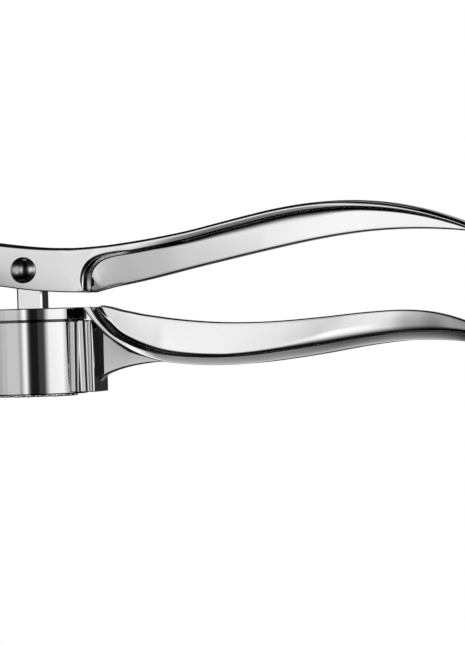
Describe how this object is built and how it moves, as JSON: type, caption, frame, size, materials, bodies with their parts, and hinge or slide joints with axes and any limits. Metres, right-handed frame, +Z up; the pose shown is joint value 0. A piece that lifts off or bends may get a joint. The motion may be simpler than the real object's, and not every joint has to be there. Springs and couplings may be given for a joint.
{
  "type": "garlic press",
  "caption": "All-steel lever garlic press: two T-section handles, a round hopper with a lift-out perforated sieve, and a plunger on a rivet in the lever's fork.",
  "frame": {"origin": "on the hopper's vertical axis, at the level of the surface that the press stands on, which is the underside of the lips round the pressing holes", "axes": "+X from the hinge towards the ends of the handles, +Y across the press, +Z up along the hopper's axis"},
  "size_m": [0.1983, 0.0324, 0.058],
  "materials": {
    "polished_cast_steel": "mirror polished stainless steel casting",
    "drawn_sheet_steel": "bright drawn stainless sheet",
    "turned_steel": "finely turned and polished stainless steel",
    "rivet_steel": "satin stainless steel rivet"
  },
  "bodies": {
    "base_body": {"lower_handle": "polished_cast_steel", "hopper_sleeve": "polished_cast_steel", "sieve_cup": "drawn_sheet_steel", "basket_collar": "turned_steel", "hinge_pin": "rivet_steel", "hinge_washers": "turned_steel"},
    "lever_body": {"upper_lever": "polished_cast_steel", "plunger_rivet": "rivet_steel", "plunger_washers": "turned_steel"},
    "plunger_body": {"plunger_stem": "turned_steel", "press_plate": "turned_steel"}
  },
  "joints": [
    {"name": "lever_hinge", "type": "hinge", "parent": "base_body", "child": "lever_body", "pos_m": [-0.0308, 0, 0.045], "axis": [0, -1, 0], "range_deg": [0, 90]},
    {"name": "plunger_pivot", "type": "hinge", "parent": "lever_body", "child": "plunger_body", "pos_m": [-0.0008, 0, 0.0396], "axis": [0, -1, 0], "range_deg": [-74, 0]}
  ],
  "couplings": [
    {"joint": "plunger_pivot", "follows": "lever_hinge", "ratio": -0.81}
  ]
}
